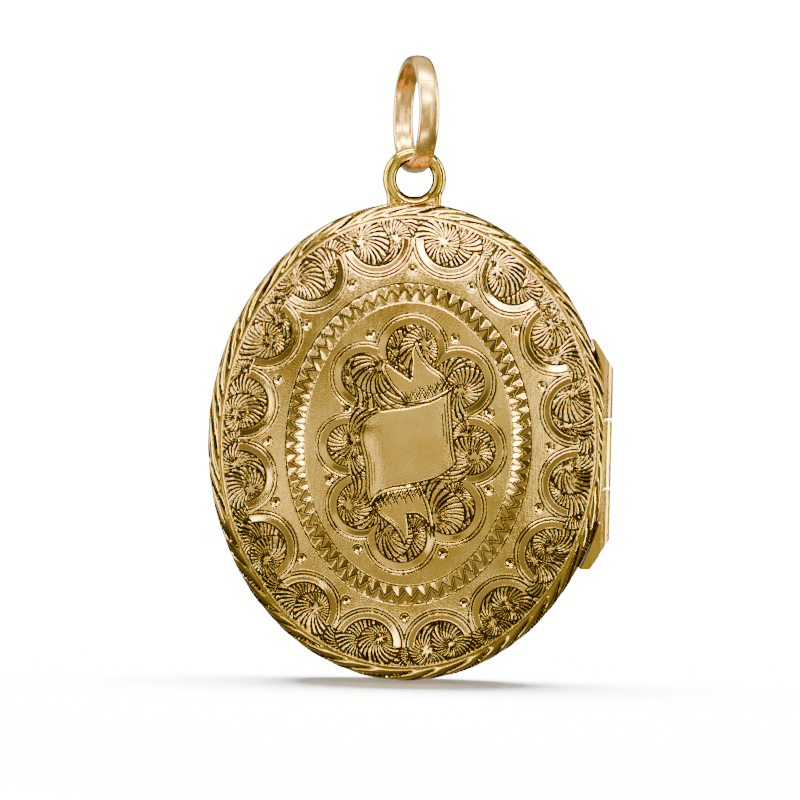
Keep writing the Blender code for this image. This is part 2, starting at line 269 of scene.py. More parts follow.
def scallop_border(relief):
    """Scallops along the cover's edge, filled with shells, with a dot at every cusp."""
    radius, past_middles = 2.62, 0.905
    middles = ellipse(past_middles * COVER_X, 0.915 * COVER_Z, SCALLOP_COUNT)
    away = np.full(relief.depth.shape, FAR_OUTSIDE)
    for x, z in middles:
        away = np.maximum(away, radius - np.hypot(relief.grid_x - x, relief.grid_z - z))
    share = np.hypot(relief.grid_x / COVER_X, relief.grid_z / COVER_Z)
    edge = np.where(share > past_middles, WELL_INSIDE, away)
    border(relief, edge)
    ground = (edge > BORDER_WIDTH) & (share < 0.990)
    centres, radii = [], []
    for middle in middles:
        outward = middle / (COVER_X**2, COVER_Z**2)
        outward /= np.hypot(*outward)
        along = np.array([-outward[1], outward[0]])
        for shift, lift, size in SCALLOP_SHELLS:
            place = middle + along * (shift + rng.uniform(-0.12, 0.12))
            centres.append(place + outward * (lift + rng.uniform(-0.15, 0.15)))
            radii.append(size * rng.uniform(0.92, 1.08))
    shells(relief, centres, radii, ground)
    for place in ellipse(0.748 * COVER_X, 0.767 * COVER_Z, SCALLOP_COUNT, start=0):
        relief.dot(place, 0.31)


def zigzag_band(relief):
    """Two thin oval lines with bright-cut triangles between them."""
    outer_x, outer_z, thick, teeth = 8.37, 10.98, 1.26, 64
    turn = np.arctan2(relief.grid_z / outer_z, relief.grid_x / outer_x)
    share = np.hypot(relief.grid_x / outer_x, relief.grid_z / outer_z)
    slant = np.hypot(np.cos(turn) * outer_x, np.sin(turn) * outer_z)
    normal = slant * np.hypot(np.cos(turn) / outer_x, np.sin(turn) / outer_z)
    inwards = (1 - share) * slant / normal
    # u is the place within a tooth, from the length along the band's middle line
    steps = np.linspace(-np.pi, np.pi, 2001)
    mid_x, mid_z = outer_x - thick / 2, outer_z - thick / 2
    run = summed(np.hypot(mid_x * np.sin(steps), mid_z * np.cos(steps)))
    u = np.interp(turn, steps, run / run[-1] * teeth) % 1
    # t is the place across the band, and the zigzag wave is the ridge between two facets
    t = inwards / thick
    wave = 0.26 + 0.46 * np.abs(2 * u - 1)
    low = np.clip((wave - 0.08 - t) / 0.50, 0, 1)
    high = np.clip((t - wave - 0.08) / 0.50, 0, 1)
    facet = 0.15 * np.maximum(low, high)
    facet[(t < 0) | (t > 1)] = 0
    relief.depth = np.maximum(relief.depth, facet)
    for line in (0, thick):
        share = groove(inwards, line, 0.06)
        relief.depth = np.maximum(relief.depth, 0.05 * share)
        relief.grime_and_shade = np.maximum(relief.grime_and_shade, 0.9 * share)
    # painted shade: dark lines with no cut along the facet walls at each side of the bright
    # ribbon
    for wall in (wave - 0.09, wave + 0.09):
        share = groove(t, wall, 0.07) * (t > 0) * (t < 1)
        relief.grime_and_shade = np.maximum(relief.grime_and_shade, share)


LOBES = (  # x, z and radius of the cartouche's lobes, clockwise from the top
    (0.10, 6.39, 2.60),
    (3.31, 4.26, 2.60),
    (4.23, -0.31, 2.54),
    (2.88, -4.33, 2.60),
    (-0.37, -6.32, 2.60),
    (-3.17, -4.25, 2.47),
    (-4.15, -0.16, 2.26),
    (-3.09, 4.59, 2.40),
)
# x and z along each edge of the ribbon: its panel, and the folded ends above and below
PANEL_TOP = (
    (-3.2, 1.3), (-2.5, 1.95), (-1.7, 2.3), (-0.2, 2.5), (1.35, 2.9), (2.5, 3.5), (2.9, 3.85),
)
PANEL_RIGHT = ((2.9, 3.85), (2.8, 3.0), (2.95, 1.2), (3.1, -0.2), (3.3, -1.1))
PANEL_BOTTOM = (
    (3.3, -1.1), (2.9, -1.55), (2.0, -2.2), (0.4, -2.65), (-1.15, -2.95), (-2.0, -3.3),
    (-2.6, -4.1),
)
PANEL_LEFT = (
    (-2.6, -4.1), (-2.8, -3.4), (-2.85, -2.4), (-2.95, -1.25), (-3.35, 0.4), (-3.2, 1.3),
)
UPPER_RIGHT = ((2.9, 3.85), (2.25, 4.8), (1.4, 5.4), (0.75, 6.2), (0.4, 7.1))
UPPER_NECK = ((0.4, 7.1), (0.1, 6.4), (0.15, 5.6), (0.05, 4.4))
UPPER_LIP = ((0.05, 4.4), (-0.75, 4.9), (-1.45, 5.4), (-1.95, 5.5))
UPPER_LEFT = ((-1.95, 5.5), (-1.85, 4.9), (-1.3, 3.9), (-0.35, 2.95))
LOWER_LEFT = ((-2.6, -4.1), (-1.75, -5.0), (-0.85, -5.7), (-0.1, -6.95))
LOWER_NECK = ((-0.1, -6.95), (0.1, -6.2), (0.05, -5.4), (-0.05, -4.75))
LOWER_LIP = ((-0.05, -4.75), (0.8, -4.75), (1.45, -5.35), (1.9, -6.3))
LOWER_RIGHT = ((1.9, -6.3), (1.8, -5.4), (1.5, -4.1), (0.95, -2.8))


def joined(*lines):
    """One outline from several edges, each smooth, with corners between them."""
    return np.concatenate([smooth_line(line) for line in lines])


def cartouche(relief):
    """The lobed centre: a blank ribbon panel with folded ends on a ground of shells."""
    edge = np.full(relief.depth.shape, FAR_OUTSIDE)
    for x, z, radius in LOBES:
        edge = np.maximum(edge, radius - np.hypot(relief.grid_x - x, relief.grid_z - z))
    core = np.hypot(relief.grid_x / 4.2, relief.grid_z / 6.0) < 1
    edge = np.where(core, np.maximum(edge, WELL_INSIDE), edge)
    border(relief, edge)
    panel = joined(PANEL_TOP, PANEL_RIGHT, PANEL_BOTTOM, PANEL_LEFT)
    upper = joined(UPPER_RIGHT, UPPER_NECK, UPPER_LIP, UPPER_LEFT, PANEL_TOP[4:])
    lower = joined(LOWER_LEFT, LOWER_NECK, LOWER_LIP, LOWER_RIGHT, PANEL_BOTTOM[4:])
    ribbon = np.zeros(edge.shape, bool)
    for outline in (panel, upper, lower):
        ribbon |= inside(outline, relief.grid_x, relief.grid_z)
    ground = (edge > BORDER_WIDTH) & ~ribbon
    centres, radii = [], []
    for x, z, radius in LOBES:
        outward = np.array([x, z]) / math.hypot(x, z)
        along = np.array([-outward[1], outward[0]])
        for side, size in ((1, 1.35), (-1, 1.65)):
            centres.append(np.array([x, z]) + along * side * 0.8 - outward * 0.05)
            radii.append(size * rng.uniform(0.95, 1.08))
    shells(relief, centres, radii, ground)
    pillow(relief, panel)
    ribbon_edges(relief)
    ribbon_shading(relief, ribbon)
    for i, lobe in enumerate(LOBES):
        relief.dot(cusp(lobe, LOBES[i - 1]), 0.32)


def ribbon_edges(relief):
    """The outlines of the panel and of the folded ends, with a finer line inside each."""
    for line in (
        PANEL_RIGHT, PANEL_LEFT, UPPER_RIGHT, UPPER_NECK, UPPER_LIP, UPPER_LEFT,
        LOWER_LEFT, LOWER_NECK, LOWER_LIP, LOWER_RIGHT,
    ):
        relief.line(smooth_line(line), 0.09, 0.09)
    for line, shift in ((PANEL_TOP, 0.30), (PANEL_BOTTOM, -0.26)):
        relief.line(smooth_line(line), 0.09, 0.10)
        relief.line(smooth_line(line) + np.array([0.05, shift]), 0.07, 0.07)
    for lines, heart in (
        ((PANEL_RIGHT, PANEL_LEFT), (0.1, 0.0)),
        ((UPPER_RIGHT, UPPER_LIP, UPPER_LEFT), (0.7, 4.2)),
        ((LOWER_LEFT, LOWER_LIP, LOWER_RIGHT), (-0.4, -4.2)),
    ):
        for line in lines:
            relief.line(beside(line, heart, 0.24), 0.06, 0.06)


def ribbon_shading(relief, ribbon):
    """Short cuts where the ends fold behind the panel, and long ones down its sides."""
    hatch(relief, ribbon, PANEL_TOP[3:], (0.05, 0.42), (0.34, 0.70), 17)
    hatch(relief, ribbon, PANEL_TOP[3:], (0.05, 0.42), (-0.40, 0.62), 17)
    hatch(relief, ribbon, PANEL_BOTTOM[2:], (0.0, -0.38), (0.32, -0.75), 22)
    hatch(relief, ribbon, PANEL_BOTTOM[2:], (0.0, -0.38), (-0.34, -0.65), 22)
    for offset, length in ((0.22, 0.55), (0.42, 0.40), (0.62, 0.25)):
        for line, way in ((PANEL_LEFT, 1), (PANEL_RIGHT, -1)):
            points = smooth_line(line)
            count = len(points)
            keep = points[int(count * (0.5 - length / 2)) : int(count * (0.5 + length / 2))]
            relief.line(keep + np.array([way * offset, 0]), 0.05, 0.045)


def hatch(relief, mask, line, offset, stroke, count):
    """Short shading cuts that hang from a line, kept within a mask."""
    points = smooth_line(line)
    for i in np.linspace(0, len(points) - 1, count).astype(int):
        start = points[i] + np.array(offset)
        length = rng.uniform(0.7, 1.1)
        relief.line([start, start + np.array(stroke) * length], 0.055, 0.06, mask)


def cusp(lobe, other):
    """A place just outside the corner where two lobes cross."""
    x, z, radius = lobe
    x2, z2, radius2 = other
    gap = math.hypot(x2 - x, z2 - z)
    reach = (gap**2 + radius**2 - radius2**2) / (2 * gap)
    rise = math.sqrt(max(radius**2 - reach**2, 0))
    towards = np.array([x2 - x, z2 - z]) / gap
    across = np.array([-towards[1], towards[0]])
    if across @ np.array([x, z]) < 0:
        across = -across
    return np.array([x, z]) + towards * reach + across * (rise + 0.62)


def beside(line, heart, gap):
    """The line again, moved by the gap towards a point."""
    points = smooth_line(line)
    along = np.gradient(points, axis=0)
    across = np.stack([-along[:, 1], along[:, 0]], 1)
    across /= np.linalg.norm(across, axis=1)[:, None]
    middle = len(points) // 2
    if across[middle] @ (np.array(heart) - points[middle]) < 0:
        across = -across
    return points + gap * across


def pillow(relief, panel):
    """The ribbon panel rolls away at its left and right edges."""
    within = inside(panel, relief.grid_x, relief.grid_z)
    for line, way, reach, fall in ((PANEL_LEFT, 1, 1.6, 0.24), (PANEL_RIGHT, -1, 1.2, 0.14)):
        points = smooth_line(line)
        order = np.argsort(points[:, 1])
        side_x = np.interp(relief.z, points[order, 1], points[order, 0])
        away = way * (relief.grid_x - side_x[:, None])
        roll = fall * np.clip(1 - away / reach, 0, 1) ** 1.6 * within
        relief.roll = np.maximum(relief.roll, roll)


def dome(x, z):
    """The cover's outer face: depth from the parting plane, in millimetres."""
    share = np.minimum(np.hypot(x / COVER_X, z / COVER_Z), 1)
    return EDGE_DEPTH + (CROWN_DEPTH - EDGE_DEPTH) * (1 - share**SQUARENESS) ** FULLNESS


def disc_grid(count):
    """A square grid of points laid evenly over the unit disc."""
    line = np.linspace(-1, 1, count)
    a, b = np.meshgrid(line, line)
    tall = np.abs(b) > np.abs(a)
    radius = np.where(tall, b, a)
    other = np.where(tall, a, b)
    ratio = np.divide(other, radius, out=np.zeros_like(a), where=radius != 0)
    angle = np.where(tall, np.pi / 2 - np.pi / 4 * ratio, np.pi / 4 * ratio)
    return radius * np.cos(angle), radius * np.sin(angle)


def sample(relief, layer, x, z):
    """One of the relief's layers at plan positions, between the grid's own points."""
    column = np.clip((x - relief.x[0]) / RELIEF_PITCH, 0, len(relief.x) - 1.001)
    row = np.clip((z - relief.z[0]) / RELIEF_PITCH, 0, len(relief.z) - 1.001)
    i, j = row.astype(int), column.astype(int)
    fi, fj = row - i, column - j
    below = layer[i, j] * (1 - fj) + layer[i, j + 1] * fj
    above = layer[i + 1, j] * (1 - fj) + layer[i + 1, j + 1] * fj
    return below * (1 - fi) + above * fi


def mesh_from(name, points, faces, **attributes):
    """A mesh from arrays: faces is a list of blocks, each with one number of corners."""
    mesh = bpy.data.meshes.new(name)
    mesh.vertices.add(len(points))
    mesh.vertices.foreach_set("co", points.astype(np.float32).ravel())
    corners = np.concatenate([np.ravel(block) for block in faces])
    sizes = np.concatenate([np.full(len(block), block.shape[1]) for block in faces])
    mesh.loops.add(len(corners))
    mesh.loops.foreach_set("vertex_index", corners.astype(np.int32))
    mesh.polygons.add(len(sizes))
    starts = np.concatenate([[0], np.cumsum(sizes)[:-1]])
    mesh.polygons.foreach_set("loop_start", starts.astype(np.int32))
    mesh.update(calc_edges=True)
    mesh.validate()
    for title, values in attributes.items():
        layer = mesh.attributes.new(title, "FLOAT", "POINT")
        layer.data.foreach_set("value", values.astype(np.float32))
    return mesh


def engraved_cover(name, node, side, relief, count, body):
    """A domed plate whose outer face carries the relief, closed behind."""
    u, v = disc_grid(count)
    x, z = u * COVER_X, v * COVER_Z
    step = 0.01
    slope_x = (dome(x + step, z) - dome(x - step, z)) / (2 * step)
    slope_z = (dome(x, z + step) - dome(x, z - step)) / (2 * step)
    steep = np.maximum(np.hypot(slope_x, slope_z), 1e-6)
    limit = np.minimum(1, 1.2 / steep)
    normal = np.stack([-slope_x * limit, np.ones_like(x), -slope_z * limit])
    normal /= np.linalg.norm(normal, axis=0)
    cut = sample(relief, relief.depth, x, z)
    grime_and_shade = sample(relief, relief.grime_and_shade, x, z)
    sunk = np.maximum(cut, sample(relief, relief.roll, x, z))
    face = np.stack([x, dome(x, z), z]) - sunk * normal
    around = np.concatenate(
        [
            np.arange(count),
            np.arange(1, count) * count + count - 1,
            (count - 1) * count + np.arange(count - 2, -1, -1),
            np.arange(count - 2, 0, -1) * count,
        ]
    )
    face = face.reshape(3, -1).T
    wall = face[around] * [1, 0, 1] + [0, PLATE_BACK, 0]
    points = np.concatenate([face, wall, [[0, PLATE_BACK, 0]]])
    points = points * [1, side, 1] * MM + [0, PARTING_Y, CENTRE_Z]
    index = np.arange(count * count).reshape(count, count)
    quads = np.stack([index[:-1, :-1], index[:-1, 1:], index[1:, 1:], index[1:, :-1]], -1)
    quads = quads.reshape(-1, 4)
    ring = count * count + np.arange(len(around))
    sides = np.stack([around, ring, np.roll(ring, -1), np.roll(around, -1)], -1)
    fan = np.stack([ring, np.full(len(ring), len(points) - 1), np.roll(ring, -1)], -1)
    if side == BACK:
        quads, sides, fan = quads[:, ::-1], sides[:, ::-1], fan[:, ::-1]
    rest = np.zeros(len(ring) + 1)
    mesh = mesh_from(
        name,
        points,
        [quads, sides, fan],
        engraved=np.concatenate([grime_and_shade.ravel(), rest]),
        polished=np.concatenate([np.clip(cut.ravel() / 0.03, 0, 1), rest]),
    )
    mesh.shade_smooth()
    mesh.set_sharp_from_angle(angle=math.radians(70))
    return piece(name, mesh, body, node)


# ---------------------------------------------------------------- rims and fittings


def piece(name, mesh, body, *nodes):
    """A visible piece that rides on a body and stands in for its CAD parts."""
    obj = bpy.data.objects.new(name, mesh)
    bpy.context.scene.collection.objects.link(obj)
    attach(obj, body)
    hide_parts(*nodes)
    return obj


def wrapped_quads(index):
    """Quads between the points of a grid whose rows and columns both join up."""
    ahead = np.roll(index, -1, 0)
    quads = np.stack([index, np.roll(index, -1, 1), np.roll(ahead, -1, 1), ahead], -1)
    return quads.reshape(-1, 4)


def rim_outline(shares):
    """Points on the rim's outer edge at shares of its length, with the way out at each."""
    turn = np.linspace(0, 2 * np.pi, 4001)
    a, b = HALF_WIDTH / MM, HALF_HEIGHT / MM
    run = summed(np.hypot(a * np.sin(turn), b * np.cos(turn)))
    turn = np.interp(shares * run[-1], run, turn)
    plan = np.stack([a * np.cos(turn), b * np.sin(turn)], 1)
    out = np.stack([np.cos(turn) / a, np.sin(turn) / b], 1)
    return plan, out / np.linalg.norm(out, axis=1)[:, None]


def rope_rim(name, node, side, body):
    """The rim with a twisted-rope outer face, notched for the hinge like the CAD rim."""
    steps, strands, twist, amplitude = 1120, 46, 2.7, 0.23
    s = np.arange(steps) / steps
    plan, out = rim_outline(s)
    wall, shoulder = 0.80, 0.90  # the straight wall's depth, and the radius that ends it
    length = np.linspace(0.02, wall + shoulder * np.pi / 2 - 0.01, 27)
    angle = np.clip((length - wall) / shoulder, 0, np.pi / 2)
    inset = shoulder * (1 - np.cos(angle))
    depth = np.minimum(length, wall) + shoulder * np.sin(angle)
    # each strand slopes like a saw's tooth, a little uneven, as if twisted by hand
    drift = 0.22 * np.sin(10 * np.pi * s + side) + 0.15 * np.sin(34 * np.pi * s)
    phase = strands * s[:, None] + drift[:, None] + side * twist * length / length[-1]
    strand = np.floor(phase)
    off_centre = np.abs(2 * (phase - strand) - 1)
    uneven = 0.85 + 0.25 * np.sin(4.1 * (strand % strands))
    dip = amplitude * uneven * (0.5 * (phase - strand) + 0.5 * off_centre**3)
    fade = np.clip(length / 0.15, 0.2, 1) * np.clip((length[-1] - length) / 0.25, 0, 1)
    dip = np.maximum(dip, 0) * fade
    inset = inset + dip * np.cos(angle)
    depth = depth - dip * np.sin(angle)
    # the inner side, as inset and depth: behind the cover's edge and back to the parting plane
    tail = np.array([[0.95, 1.70], [0.95, 1.25], [1.65, 1.25], [1.65, 0.025], [0.06, 0.025]])
    inset = np.concatenate([inset, np.tile(tail[:, 0], (steps, 1))], 1)
    depth = np.concatenate([depth, np.tile(tail[:, 1], (steps, 1))], 1)
    rows = inset.shape[1]
    xz = plan[:, None, :] - out[:, None, :] * inset[:, :, None]
    points = np.stack([xz[:, :, 0], side * depth, xz[:, :, 1]], -1).reshape(-1, 3)
    points = points * MM + [0, PARTING_Y, CENTRE_Z]
    quads = wrapped_quads(np.arange(steps * rows).reshape(steps, rows))
    if side == BACK:
        quads = quads[:, ::-1]
    grooves = np.clip(4 * off_centre - 3.1, 0, 0.9) * np.clip(fade, 0, 1)
    grooves = np.concatenate([grooves, np.zeros((steps, len(tail)))], 1)
    mesh = mesh_from(name, points, [quads], engraved=grooves.ravel())
    obj = piece(name, mesh, body, node)
    for tool in hinge_cutters():
        cut = obj.modifiers.new(tool.name, "BOOLEAN")
        cut.object = tool
        cut.solver = "EXACT"
    bake_modifiers(obj)
    obj.data.shade_smooth()
    obj.data.set_sharp_from_angle(angle=math.radians(48))
    return obj


def bake_modifiers(obj):
    """Put the modifiers' result in the mesh itself."""
    graph = bpy.context.evaluated_depsgraph_get()
    mesh = bpy.data.meshes.new_from_object(obj.evaluated_get(graph))
    obj.modifiers.clear()
    obj.data = mesh


def hinge_cutters():
    """The channel that the hinge lies in, and all that is beyond its middle."""
    found = bpy.data.objects.get("cut_channel")
    if found:
        return found, bpy.data.objects["cut_beyond"]
    radius, tall = 0.73 * MM, 22 * MM
    work = bmesh.new()
    bmesh.ops.create_cone(
        work, cap_ends=True, segments=48, radius1=radius, radius2=radius, depth=tall
    )
    channel = bpy.data.meshes.new("cut_channel")
    work.to_mesh(channel)
    work.clear()
    bmesh.ops.create_cube(work, size=1)
    bmesh.ops.scale(work, vec=(3 * MM, 6 * MM, tall), verts=work.verts)
    bmesh.ops.translate(work, vec=(1.45 * MM, 0, 0), verts=work.verts)
    beyond = bpy.data.meshes.new("cut_beyond")
    work.to_mesh(beyond)
    work.free()
    made = []
    for mesh in (channel, beyond):
        obj = bpy.data.objects.new(mesh.name, mesh)
        bpy.context.scene.collection.objects.link(obj)
        obj.location = HINGE
        obj.hide_render = True
        made.append(obj)
    bpy.context.view_layer.update()
    return made


def smooth_ring(name, node, body):
    """The jump ring: a worn, half-round wire, wavy outside, with a solder seam."""
    inner, thick, half = 3.35, 0.75, 0.73
    seam, facing_turn = math.radians(32), math.radians(14)
    turn = np.linspace(0, 2 * np.pi, 192, endpoint=False)
    close = seam + np.array([-0.03, -0.016, -0.008, 0, 0.008, 0.016, 0.03])
    turn = np.sort(np.concatenate([turn[np.abs(turn - seam) > 0.035], close]))
    # half the wire's section: outwards from the ring's inside, and across from its middle
    profile = smooth_line(
        [
            (0.02, 0.0), (0.0, 0.30), (0.05, 0.52), (0.18, 0.655), (0.34, 0.69),
            (0.50, 0.66), (0.61, 0.56), (0.68, 0.42), (0.715, 0.30), (0.735, 0.16), (0.75, 0.0),
        ],
        3,
    )
    profile = np.concatenate([profile, (profile * [1, -1])[-2:0:-1]])
    radial, across = profile[:, 0], profile[:, 1] / 0.69 * half
    wave = 0.012 * np.sin(5 * turn + 1) + 0.008 * np.sin(11 * turn)
    outer = np.clip(radial / thick, 0, 1) ** 2
    seam_cut = 0.02 * np.clip(1 - np.abs(turn - seam) / 0.009, 0, 1)
    radius = inner + radial + outer * (wave - seam_cut - 0.02)[:, None]
    x = np.broadcast_to(across, radius.shape)
    y = -radius * np.cos(turn)[:, None]
    z = radius * np.sin(turn)[:, None]
    count, rows = radius.shape
    points = np.stack([x, y, z], -1).reshape(-1, 3) * MM
    quads = wrapped_quads(np.arange(count * rows).reshape(count, rows))
    dirt_and_shade = np.broadcast_to((seam_cut / 0.04)[:, None] * outer, radius.shape)
    mesh = mesh_from(name, points, [quads], engraved=dirt_and_shade.ravel())
    mesh.transform(Matrix.Rotation(facing_turn, 4, "Z"))
    outward_faces(mesh)
    mesh.shade_smooth()
    return piece(name, mesh, body, node)


def outward_faces(mesh):
    """Turn every face to look out of its solid."""
    work = bmesh.new()
    work.from_mesh(mesh)
    bmesh.ops.recalc_face_normals(work, faces=work.faces)
    work.to_mesh(mesh)
    work.free()


def soldered_loop(name, node, body):
    """The loop and its foot, melted together with soft solder fillets."""
    radius, wire = 1.72, 0.50
    centre = Vector(((LOOP_LOW.x + LOOP_HIGH.x) / 2, (LOOP_LOW.y + LOOP_HIGH.y) / 2, 0))
    centre.z = LOOP_HIGH.z - (radius + wire) * MM
    around, rows = 96, 32
    turn = np.linspace(0, 2 * np.pi, around, endpoint=False)
    ring = np.linspace(0, 2 * np.pi, rows, endpoint=False)
    away = radius + wire * np.cos(ring)
    points = np.stack(
        [
            np.cos(turn)[:, None] * away,
            np.broadcast_to(wire * np.sin(ring), (around, rows)),
            np.sin(turn)[:, None] * away,
        ],
        -1,
    ).reshape(-1, 3)
    quads = wrapped_quads(np.arange(around * rows).reshape(around, rows))
    mesh = mesh_from(name, points * MM, [quads])
    work = bmesh.new()
    work.from_mesh(mesh)
    for x, z, size in foot_balls():
        bmesh.ops.create_uvsphere(
            work,
            u_segments=20,
            v_segments=12,
            radius=size * MM,
            matrix=Matrix.Translation((x * MM, 0, z * MM)),
        )
    bmesh.ops.recalc_face_normals(work, faces=work.faces)
    work.to_mesh(mesh)
    work.free()
    mesh.transform(Matrix.Translation(centre))
    obj = piece(name, mesh, body, node)
    melt = obj.modifiers.new("melt", "REMESH")
    melt.mode = "VOXEL"
    melt.voxel_size = 0.045 * MM
    soften = obj.modifiers.new("soften", "SMOOTH")
    soften.iterations = 14
    soften.factor = 0.6
    bake_modifiers(obj)
    # painted shade inside the eye of the loop
    paint_eye_shade(obj.data, centre, radius * MM)
    obj.data.shade_smooth()
    return obj


def paint_eye_shade(mesh, centre, radius):
    """Painted shade on the wire's inner side, darker towards the middle of the eye."""
    points = np.empty(3 * len(mesh.vertices), np.float32)
    mesh.vertices.foreach_get("co", points)
    points = points.reshape(-1, 3)
    away = np.hypot(points[:, 0] - centre.x, points[:, 2] - centre.z)
    layer = mesh.attributes.new("engraved", "FLOAT", "POINT")
    # painted shade, rising towards the eye's middle and held at 0.55
    grime_and_shade = np.clip((radius - 0.22 * MM - away) / (0.3 * MM), 0, 0.55)
    layer.data.foreach_set("value", grime_and_shade.astype(np.float32))


def foot_balls():
    """Blobs of solder along the foot: x, z and radius from the loop's middle."""
    balls = []
    for x in np.linspace(-1.5, 1.5, 13):
        balls.append((x, -1.50 - 0.05 * x * x, 0.33 + rng.uniform(-0.01, 0.01)))
    for t in np.linspace(0, 1, 8):
        for side in (-1, 1):
            balls.append((side * (1.53 - 0.05 * t), -0.65 - 1.10 * t, 0.45 - 0.02 * t))
    return balls


# ---------------------------------------------------------------- finishes

# the dark of patina in cuts and crevices; inside the loop's eye the same colour is painted
# shade
PATINA_AND_SHADE = (0.014, 0.007, 0.002)


def gold(name, light, dark, roughness, satin=1.0):
    """Worn gold: cloudy colour, fine scratches, and a dark colour laid by the mesh's darkness
    layer: patina in cuts and crevices, painted shade inside the loop's eye.

    A higher satin makes the scratches and the grain stronger."""
    made = bpy.data.materials.new(name)
    made.use_nodes = True
    nodes, links = made.node_tree.nodes, made.node_tree.links
    shader = nodes["Principled BSDF"]
    shader.inputs["Metallic"].default_value = 1.0
    coords = nodes.new("ShaderNodeTexCoord")
    cloud = noise(nodes, links, coords, 420, 4)
    grain = noise(nodes, links, coords, 9000, 2)
    scratch = scratches(nodes, links, coords)
    engraved = attribute(nodes, "engraved")
    polished = attribute(nodes, "polished")

    tone = mix(nodes, links, remap(nodes, links, cloud, 0.35, 0.65, 0.0, 1.0), dark, light)
    # patina in cuts and crevices, and painted shade inside the loop's eye
    dirt_and_shade = remap(nodes, links, engraved, 0.14, 0.48, 0.0, 0.98)
    links.new(mix(nodes, links, dirt_and_shade, tone, PATINA_AND_SHADE), shader.inputs["Base Color"])

    worn = remap(nodes, links, cloud, 0.3, 0.7, roughness - 0.04, roughness + 0.06)
    scuffed = remap(nodes, links, scratch, 0.4, 0.7, 0.0, 0.10 * satin)
    rough = combine(nodes, links, "ADD", worn, scuffed)
    gloss = remap(nodes, links, polished, 0.0, 1.0, 1.0, 0.5)
    links.new(combine(nodes, links, "MULTIPLY", rough, gloss), shader.inputs["Roughness"])

    bump = nodes.new("ShaderNodeBump")
    strength = remap(nodes, links, polished, 0.0, 1.0, 0.60 * satin, 0.12 * satin)
    links.new(strength, bump.inputs["Strength"])
    bump.inputs["Distance"].default_value = 0.020 * MM
    links.new(combine(nodes, links, "ADD", scratch, grain), bump.inputs["Height"])
    links.new(bump.outputs["Normal"], shader.inputs["Normal"])
    return made


def attribute(nodes, name):
    """One of the mesh's own point layers."""
    made = nodes.new("ShaderNodeAttribute")
    made.attribute_name = name
    return made.outputs["Fac"]


def combine(nodes, links, operation, first, second):
    """One number made from two others."""
    made = nodes.new("ShaderNodeMath")
    made.operation = operation
    links.new(first, made.inputs[0])
    links.new(second, made.inputs[1])
    return made.outputs["Value"]


def mix(nodes, links, share, first, second):
    """A colour between two others, each a colour or an output that gives one."""
    made = nodes.new("ShaderNodeMix")
    made.data_type = "RGBA"
    links.new(share, made.inputs["Factor"])
    for name, colour in (("A", first), ("B", second)):
        if isinstance(colour, tuple):
            made.inputs[name].default_value = (*colour, 1)
        else:
            links.new(colour, made.inputs[name])
    return made.outputs["Result"]


def scratches(nodes, links, coords):
    """Fine scratches that run several ways over the metal."""
    total = None
    for angle in (0.5, -0.9, 1.4):
        streak = nodes.new("ShaderNodeMapping")
        streak.inputs["Rotation"].default_value = (0, angle, 0)
        streak.inputs["Scale"].default_value = (1, 1, 0.06)
        links.new(coords.outputs["Object"], streak.inputs["Vector"])
        lines = nodes.new("ShaderNodeTexNoise")
        lines.inputs["Scale"].default_value = 6500
        lines.inputs["Detail"].default_value = 3
        links.new(streak.outputs["Vector"], lines.inputs["Vector"])
        if total is None:
            total = lines.outputs["Fac"]
        else:
            total = combine(nodes, links, "MINIMUM", total, lines.outputs["Fac"])
    return total


def noise(nodes, links, coords, scale, detail):
    """Noise fixed to the object; scale is in waves per metre."""
    made = nodes.new("ShaderNodeTexNoise")
    made.inputs["Scale"].default_value = scale
    made.inputs["Detail"].default_value = detail
    links.new(coords.outputs["Object"], made.inputs["Vector"])
    return made.outputs["Fac"]


def remap(nodes, links, value, from_low, from_high, to_low, to_high):
    """A number carried from one range to another, and held at its ends."""
    made = nodes.new("ShaderNodeMapRange")
    made.inputs["From Min"].default_value = from_low
    made.inputs["From Max"].default_value = from_high
    made.inputs["To Min"].default_value = to_low
    made.inputs["To Max"].default_value = to_high
    links.new(value, made.inputs["Value"])
    return made.outputs["Result"]


def plain(name, colour, roughness, mottle, transmission=0.0):
    """Card or glass: one colour with a slight procedural mottle."""
    made = bpy.data.materials.new(name)
    made.use_nodes = True
    nodes, links = made.node_tree.nodes, made.node_tree.links
    shader = nodes["Principled BSDF"]
    shader.inputs["Transmission Weight"].default_value = transmission
    coords = nodes.new("ShaderNodeTexCoord")
    cloud = noise(nodes, links, coords, 700, 5)
    darker = tuple(c * (1 - mottle) for c in colour)
    links.new(mix(nodes, links, cloud, darker, colour), shader.inputs["Base Color"])
    rough = remap(nodes, links, cloud, 0.3, 0.7, roughness, roughness + 0.04)
    links.new(rough, shader.inputs["Roughness"])
    return made


def dress(obj, material):
    """Give a piece its finish."""
    obj.data.materials.clear()
    obj.data.materials.append(material)


# ---------------------------------------------------------------- the locket


